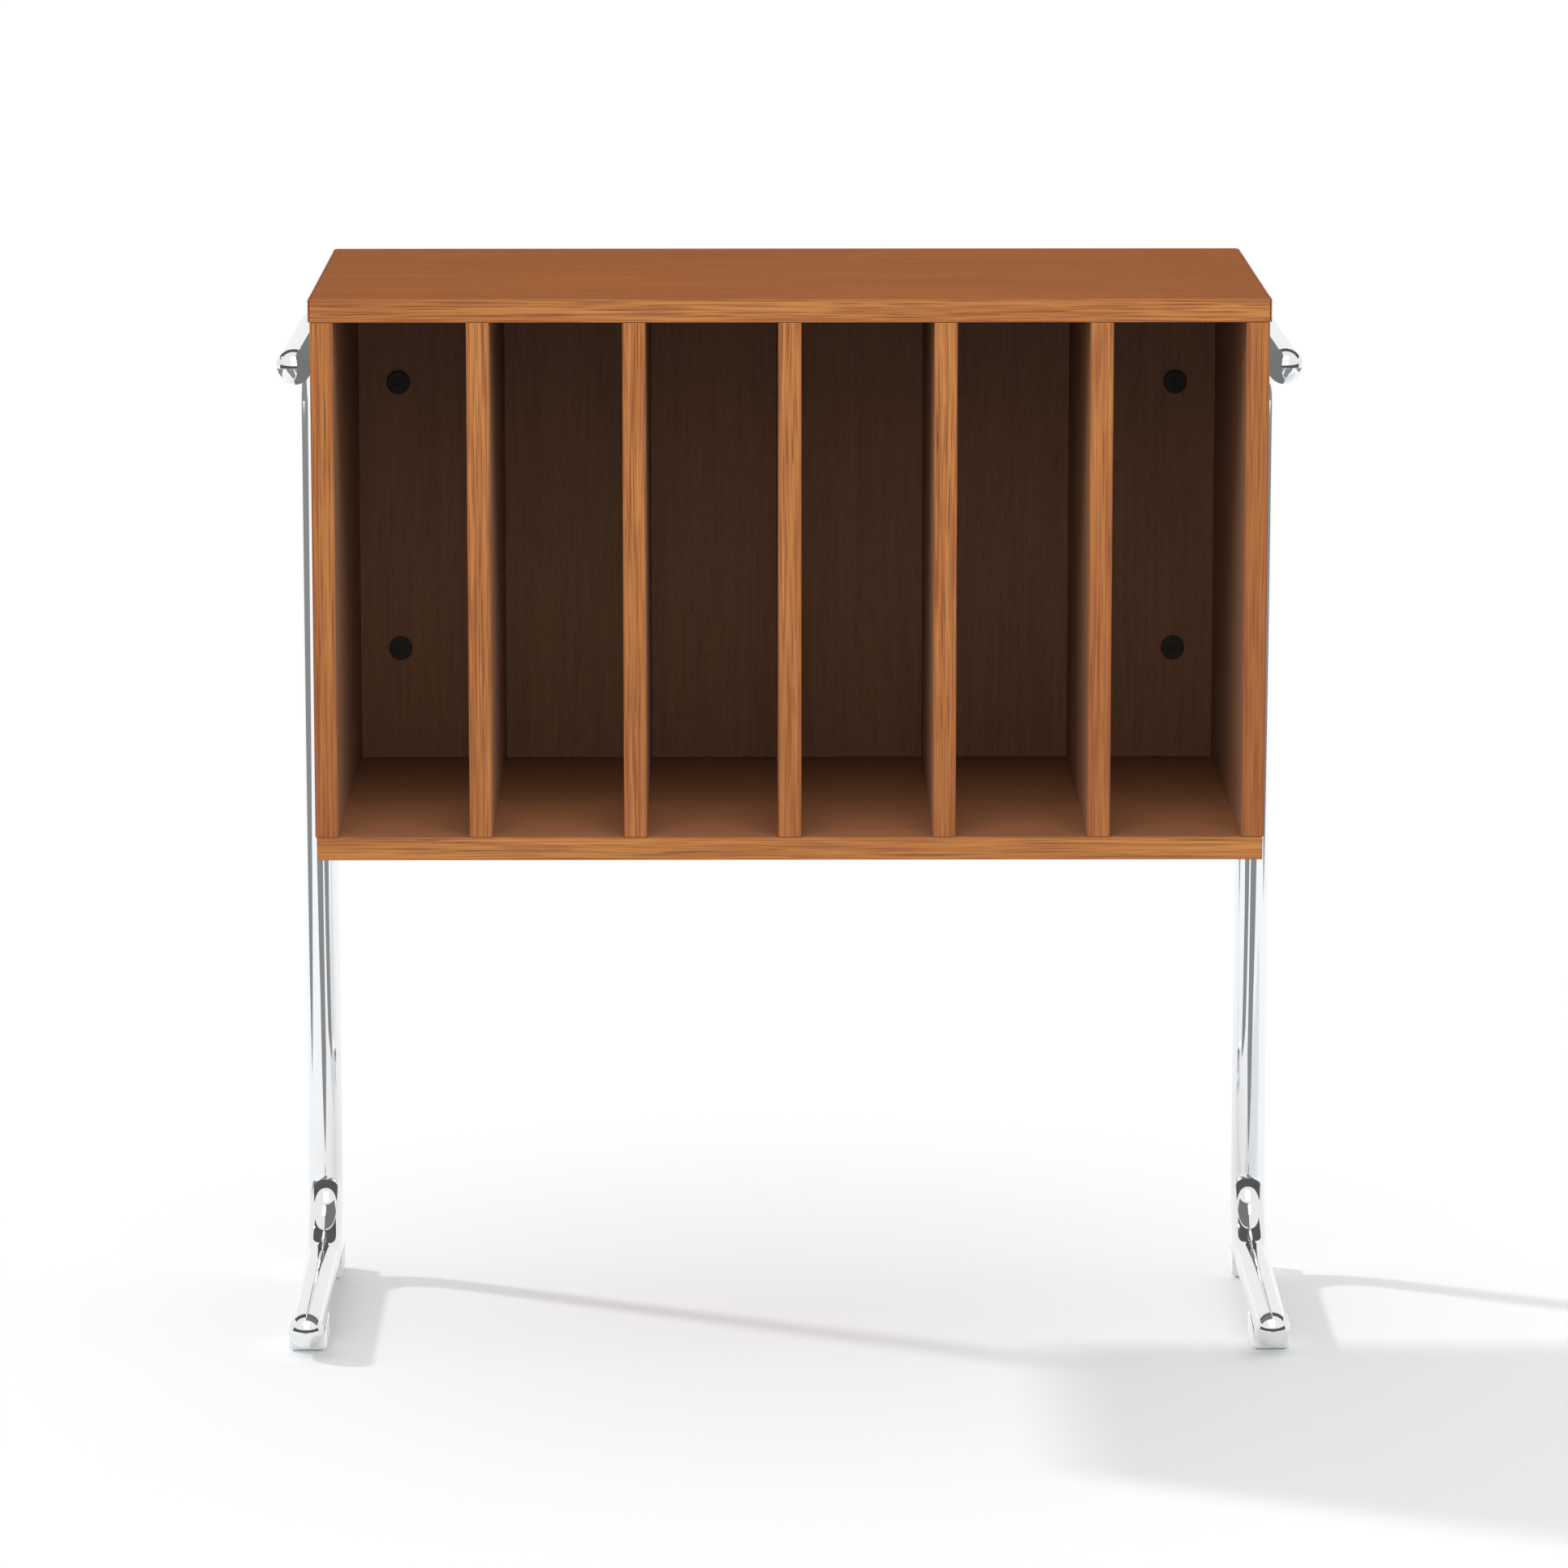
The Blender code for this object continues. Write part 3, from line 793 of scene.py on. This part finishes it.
def domed_end(name, x, y, z):
    """A half ball that plugs the tube, its rim eased and its spigot stepped in."""
    bore = TUBE_RADIUS - TUBE_WALL - SEAM
    face = y - SEAM
    dome = begin(
        name,
        "uv_sphere",
        segments=TUBE_SIDES,
        ring_count=DOME_RINGS,
        radius=TUBE_RADIUS,
        location=(x, face, z),
        rotation=(QUARTER, 0, 0),
    )
    shape(dome)
    select_whole()
    bpy.ops.mesh.bisect(plane_co=(x, face, z), plane_no=(0, 1, 0), clear_outer=True)
    pick("EDGE", lambda edge: len(edge.link_faces) == 1)
    pull((0, 0, 0))
    size = bore / TUBE_RADIUS
    bpy.ops.transform.resize(value=(size, 1, size), center_override=(x, face, z))
    pull((0, SPIGOT, 0))
    bpy.ops.mesh.edge_face_add()
    select_whole()
    bpy.ops.mesh.normals_make_consistent(inside=False)

    def on_rim(corner):
        reach = math.hypot(corner.co.x - x, corner.co.z - z)
        return abs(corner.co.y - face) < TOUCH and reach > TUBE_RADIUS - 0.1 * MM

    ease_edges(
        0.25 * MM,
        lambda edge: is_sharp(edge, 60.0) and all(on_rim(v) for v in edge.verts),
        segments=3,
    )
    clear_selection()
    return dome


def saddle_glide(name, node, x):
    """A glide moulded round the foot's underside, with a peg that plugs into it."""
    low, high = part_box(node)
    glide = block(name, low, (high.x, high.y, FOOT_Z))
    shape(glide)
    ease_edges(
        GLIDE_BELLY,
        lambda edge: all(v.co.z < low.z + 0.1 * MM for v in edge.verts),
        segments=6,
    )
    ease_edges(
        GLIDE_CORNER,
        lambda edge: is_sharp(edge, 60.0)
        and abs(edge.verts[0].co.z - edge.verts[1].co.z) > 5.0 * MM,
        segments=4,
    )
    clear_selection()
    centre = (x, (low.y + high.y) / 2, FOOT_Z)
    saddle = rod(
        name + "_tube", centre, TUBE_RADIUS + SEAM, 100.0 * MM, "Y", TUBE_SIDES
    )
    cut_out(glide, saddle)
    shape(glide)
    ease_edges(
        GLIDE_LIP,
        lambda edge: is_sharp(edge, 40.0)
        and all(v.co.z > low.z + 5.0 * MM for v in edge.verts),
    )
    clear_selection()
    peg_low = low.z + PEG_ABOVE_FLOOR
    peg = rod(
        name + "_peg",
        (x, low.y + PEG_BEHIND_FRONT, (peg_low + high.z) / 2),
        PEG_RADIUS,
        high.z - peg_low,
        "Z",
        HOLE_SIDES,
    )
    join_on(glide, peg)
    shape(glide)
    merge_corners(TOUCH)
    bpy.ops.mesh.dissolve_degenerate(threshold=TOUCH)
    clear_selection()
    return glide


def peg_hole(node, x):
    """The tool that cuts a glide's peg hole in the foot."""
    low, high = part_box(node)
    place = (x, low.y + PEG_BEHIND_FRONT, high.z / 2)
    length = high.z + 4.0 * MM
    return rod("peg_hole", place, PEG_RADIUS + SEAM, length, "Z", HOLE_SIDES)


left_tube = bent_tube("tube_left", LEFT_X)
across = Vector((RIGHT_X - LEFT_X, 0, 0))
tubes = {"left": left_tube, "right": copied(left_tube, "tube_right", across)}
for side, x in zip(SIDES, (LEFT_X, RIGHT_X)):
    low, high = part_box(f"arm_insert_{side}")
    tool = rod(
        "insert_hole",
        (low + high) / 2,
        (high.z - low.z) / 2 + SEAM,
        high.x - low.x + 1.2 * MM,
        "X",
        HOLE_SIDES,
    )
    cut_out(tubes[side], tool)
    for place in PLACES:
        cut_out(tubes[side], peg_hole(f"glide_{place}_{side}", x))
    fit(tubes[side], CHROME, f"side_frame_{side}", flat=False)

for part, end_y, end_z in (("arm", ARM_END_Y, ARM_Z), ("foot", FOOT_END_Y, FOOT_Z)):
    dome = domed_end(f"{part}_dome_left", LEFT_X, end_y, end_z)
    twin = copied(dome, f"{part}_dome_right", across)
    fit(dome, CHROME, f"{part}_end_left", angle=35.0, flat=False)
    fit(twin, CHROME, f"{part}_end_right", angle=35.0, flat=False)

for place in PLACES:
    glide = saddle_glide(f"saddle_{place}_left", f"glide_{place}_left", LEFT_X)
    twin = copied(glide, f"saddle_{place}_right", across)
    fit(glide, PLASTIC, f"glide_{place}_left")
    fit(twin, PLASTIC, f"glide_{place}_right")


# ---------------------------------------------------------------- fixings


def back_bolt(name, node):
    """A flat round head with a hexagon socket, and a plain shank with a tapered tip."""
    low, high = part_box(node)
    radius = (high.x - low.x) / 2
    centre = (low + high) / 2
    head_back = low.y + BOLT_HEAD
    head_middle = (centre.x, low.y + BOLT_HEAD / 2, centre.z)
    bolt = rod(name, head_middle, radius, BOLT_HEAD, "Y", BOLT_SIDES)
    shape(bolt)
    ease_edges(
        BOLT_HEAD_EASE,
        lambda edge: is_sharp(edge)
        and all(v.co.y < low.y + TOUCH for v in edge.verts),
        segments=3,
    )
    pick(
        "FACE",
        lambda face: face.normal.y > 0.9 and face.calc_center_median().y > low.y,
    )
    bpy.ops.mesh.inset(thickness=radius - BOLT_RADIUS)
    pull((0, high.y - head_back - BOLT_TIP, 0))
    pull((0, BOLT_TIP, 0))
    bpy.ops.transform.resize(
        value=(BOLT_TIP_TAPER, 1, BOLT_TIP_TAPER),
        center_override=(centre.x, high.y, centre.z),
    )
    clear_selection()
    socket = rod(
        name + "_socket",
        (centre.x, low.y, centre.z),
        SOCKET_HALF_WIDTH / math.cos(math.pi / 6),
        2 * SOCKET_DEPTH,
        "Y",
        6,
    )
    cut_out(bolt, socket)
    return bolt


def hexagon_nut(name, node):
    """A chamfered nut, open where the bolt comes through."""
    low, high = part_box(node)
    centre = (low + high) / 2
    flats = min(high.x - low.x, high.z - low.z) / 2
    corners = flats / math.cos(math.pi / 6)
    nut = rod(name, centre, corners, high.y - low.y, "Y", 6)
    length = high.y - low.y
    turned = corners * NUT_TURNING
    cone = rod(name + "_turning", centre, turned, length, "Y", BOLT_SIDES)
    shape(cone)
    ease_edges(NUT_CHAMFER, is_sharp, segments=1)
    clear_selection()
    apply_modifier(nut, "BOOLEAN", operation="INTERSECT", solver="EXACT", object=cone)
    bpy.data.objects.remove(cone, do_unlink=True)
    bore = rod(name + "_bore", centre, BOLT_RADIUS + SEAM, 20.0 * MM, "Y", 48)
    cut_out(nut, bore)
    return nut


def spread(kind, maker, look, node_stem):
    """Make a fixing once and set a copy at each of its four places."""
    first_node = f"{node_stem}_upper_left"
    first = maker(kind, first_node)
    for level in LEVELS:
        for side in SIDES:
            node = f"{node_stem}_{level}_{side}"
            shift = middle(node) - middle(first_node)
            fit(copied(first, f"{kind}_{level}_{side}", shift), look, node)
    bpy.data.objects.remove(first, do_unlink=True)


spread("socket_bolt", back_bolt, BLACK, "back_bolt")
spread("hexagon_nut", hexagon_nut, ZINC, "nut")

for level in LEVELS:
    for side in SIDES:
        plate = merged_copy(f"strap_{level}_{side}", f"bracket_{level}_{side}")
        shape(plate)
        ease_edges(BRACKET_EASE, lambda edge: is_sharp(edge, 50.0))
        fit(plate, CHROME, f"bracket_{level}_{side}")

for side in SIDES:
    node = f"cover_cap_{side}"
    low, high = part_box(node)
    radius = (high.z - low.z) / 2
    cap = rod(f"cap_{side}", middle(node), radius, high.x - low.x, "X", BOLT_SIDES)
    shape(cap)
    ease_edges(CAP_EASE, is_sharp, segments=4)
    look = edge_veneer(f"cap_veneer_{side}", "Z", 20.0, 0.0, 1.0, warm=0.15)
    fit(cap, look, node)

dress(ZINC, *[f"side_bolt_{side}" for side in SIDES])
dress(ZINC, *[f"arm_insert_{side}" for side in SIDES])
dress(
    BEECH,
    *[
        f"dowel_{level}_{place}_{side}"
        for level in LEVELS
        for place in PLACES
        for side in SIDES
    ],
)


# ---------------------------------------------------------------- studio


def plain(name, colour, glow=0.0):
    """A flat, matt studio surface."""
    material, _ = new_finish(
        name,
        Base_Color=(*colour, 1.0),
        Roughness=0.9,
        Specular_IOR_Level=0.0,
        Emission_Color=(1.0, 1.0, 1.0, 1.0),
        Emission_Strength=glow,
    )
    return material


FLOOR_SIZE = 80.0
FLOOR_DROP = 0.2 * MM
CARD_LIFT = 1.0 * MM
OVERHEAD_HEIGHT = 3.2
WALL_RADIUS = 6.5
WALL_HEIGHT = 1.9
WALL_CARDS = 10
WALL_TURN = 18.0
SKY = 0.935
KEY_DIRECTION = (0.75, -0.395, -0.53)
KEY_ENERGY = 1.2
KEY_SOFTNESS = 4.0
PANEL_WIDTH = 2.4
PANEL_AIM = (0.0, 0.0, 0.55)
LENS = 165.2
CAMERA_PLACE = (-0.0353, -5.125, 1.312)
CAMERA_PITCH = -0.1779
CAMERA_ROLL = -0.0063

floor = begin("floor", "plane", size=FLOOR_SIZE, location=(0, 0, -FLOOR_DROP))
floor.data.materials.append(plain("floor_paper", (0.932, 0.952, 0.962)))
floor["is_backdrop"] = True

GREY_FLAG = plain("grey_flag", (0.0, 0.0, 0.0), glow=0.28)
DARK_FLAG = plain("dark_flag", (0.0, 0.0, 0.0), glow=0.10)


def only_in_reflections(card):
    """Keep a card out of sight except in reflections, most of all in the metal."""
    card.visible_camera = False
    card.visible_diffuse = False
    card.visible_shadow = False
    card.visible_transmission = False
    card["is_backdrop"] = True


def flag(name, look, corners):
    """A flat card between its corners, seen only in reflections."""
    mesh = bpy.data.meshes.new(name)
    mesh.from_pydata(corners, [], [tuple(range(len(corners)))])
    card = bpy.data.objects.new(name, mesh)
    bpy.context.scene.collection.objects.link(card)
    card.data.materials.append(look)
    only_in_reflections(card)


# Cards on the floor, to the sides, overhead and round the front
for side, turn in (("left", -1), ("right", 1)):
    flag(
        f"flag_floor_{side}",
        GREY_FLAG,
        [
            (turn * x, y, CARD_LIFT)
            for x, y in (
                (0.33, -0.32),
                (0.13, -0.70),
                (0.13, -5.0),
                (5.0, -5.0),
                (1.6, -1.6),
                (0.70, -0.90),
            )
        ],
    )
    near = 1.05 if side == "left" else 1.8
    flag(
        f"flag_side_{side}",
        GREY_FLAG,
        [
            (turn * near, 0.1, CARD_LIFT),
            (turn * 5.0, -2.6, CARD_LIFT),
            (turn * 5.0, 3.0, CARD_LIFT),
        ],
    )
flag(
    "flag_overhead",
    DARK_FLAG,
    [
        (x, y, OVERHEAD_HEIGHT)
        for x, y in ((-5.0, 1.0), (5.0, 1.0), (5.0, 6.0), (-5.0, 6.0))
    ],
)
for step in range(WALL_CARDS):
    first, second = (
        math.radians(180.0 + WALL_TURN * (step + turn)) for turn in (0, 1)
    )
    near, far = (
        (WALL_RADIUS * math.cos(angle), WALL_RADIUS * math.sin(angle))
        for angle in (first, second)
    )
    flag(
        f"flag_wall_{step + 1}",
        DARK_FLAG,
        [(*near, 0.0), (*far, 0.0), (*far, WALL_HEIGHT), (*near, WALL_HEIGHT)],
    )


def one_sided(material):
    """Let the card's back be looked through."""
    tree = material.node_tree
    wire = Wire(tree)
    back = wire.node("ShaderNodeNewGeometry", output="Backfacing")
    clear = wire.node("ShaderNodeBsdfTransparent")
    shader = Wire(tree, tree.nodes["Principled BSDF"].outputs[0])
    mixed = wire.node("ShaderNodeMixShader", {}, {0: back, 1: shader, 2: clear})
    tree.links.new(mixed.socket, tree.nodes["Material Output"].inputs["Surface"])
    return material


# A shell just round the case, so that the tubes reflect it as an even, dim grey
shell_margin = Vector((0.15 * MM, 0.1 * MM, 0.1 * MM))
shell_low = Vector(
    (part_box("band_top_left")[0].x, cad_low.y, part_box("bottom_board")[0].z)
)
shell_high = Vector(
    (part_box("band_top_right")[1].x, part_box("top_board")[1].y, cad_high.z)
)
shell = block("grey_shell", shell_low - shell_margin, shell_high + shell_margin)
SHELL_GREY = one_sided(plain("shell_grey", (0.0, 0.0, 0.0), glow=0.20))
shell.data.materials.append(SHELL_GREY)
only_in_reflections(shell)

world = bpy.data.worlds.new("studio")
world.use_nodes = True
background = world.node_tree.nodes["Background"]
background.inputs["Color"].default_value = (1.0, 1.0, 1.0, 1.0)
background.inputs["Strength"].default_value = SKY
bpy.context.scene.world = world

key = bpy.data.lights.new("key", "SUN")
key.angle = math.radians(KEY_SOFTNESS)
key.energy = KEY_ENERGY
key_light = bpy.data.objects.new("key", key)
bpy.context.scene.collection.objects.link(key_light)
key_turn = Vector(KEY_DIRECTION).to_track_quat("-Z", "Y")
key_light.rotation_euler = key_turn.to_euler()

lit = bpy.data.collections.new("lit_by_panels")
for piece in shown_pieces():
    lit.objects.link(piece)


def panel_light(name, place, height, energy):
    """A wide soft panel in front of the rack, aimed at the case and lighting it alone."""
    panel = bpy.data.lights.new(name, "AREA")
    panel.shape = "RECTANGLE"
    panel.size = PANEL_WIDTH
    panel.size_y = height
    panel.energy = energy
    light = bpy.data.objects.new(name, panel)
    bpy.context.scene.collection.objects.link(light)
    light.location = place
    aim = Vector(PANEL_AIM) - light.location
    light.rotation_euler = aim.to_track_quat("-Z", "Y").to_euler()
    light.light_linking.receiver_collection = lit


panel_light("panel_high", (0.0, -1.6, 3.15), 1.2, 80.0)
panel_light("panel_low", (0.0, -3.2, 2.2), 1.4, 10.0)

camera_data = bpy.data.cameras.new("camera")
camera_data.lens = LENS
camera_data.sensor_width = 36.0
camera = bpy.data.objects.new("camera", camera_data)
bpy.context.scene.collection.objects.link(camera)
camera.location = CAMERA_PLACE
camera.rotation_euler = (QUARTER + CAMERA_PITCH, 0.0, CAMERA_ROLL)
bpy.context.scene.camera = camera

bpy.context.scene.view_settings.view_transform = "Standard"

clear_selection()
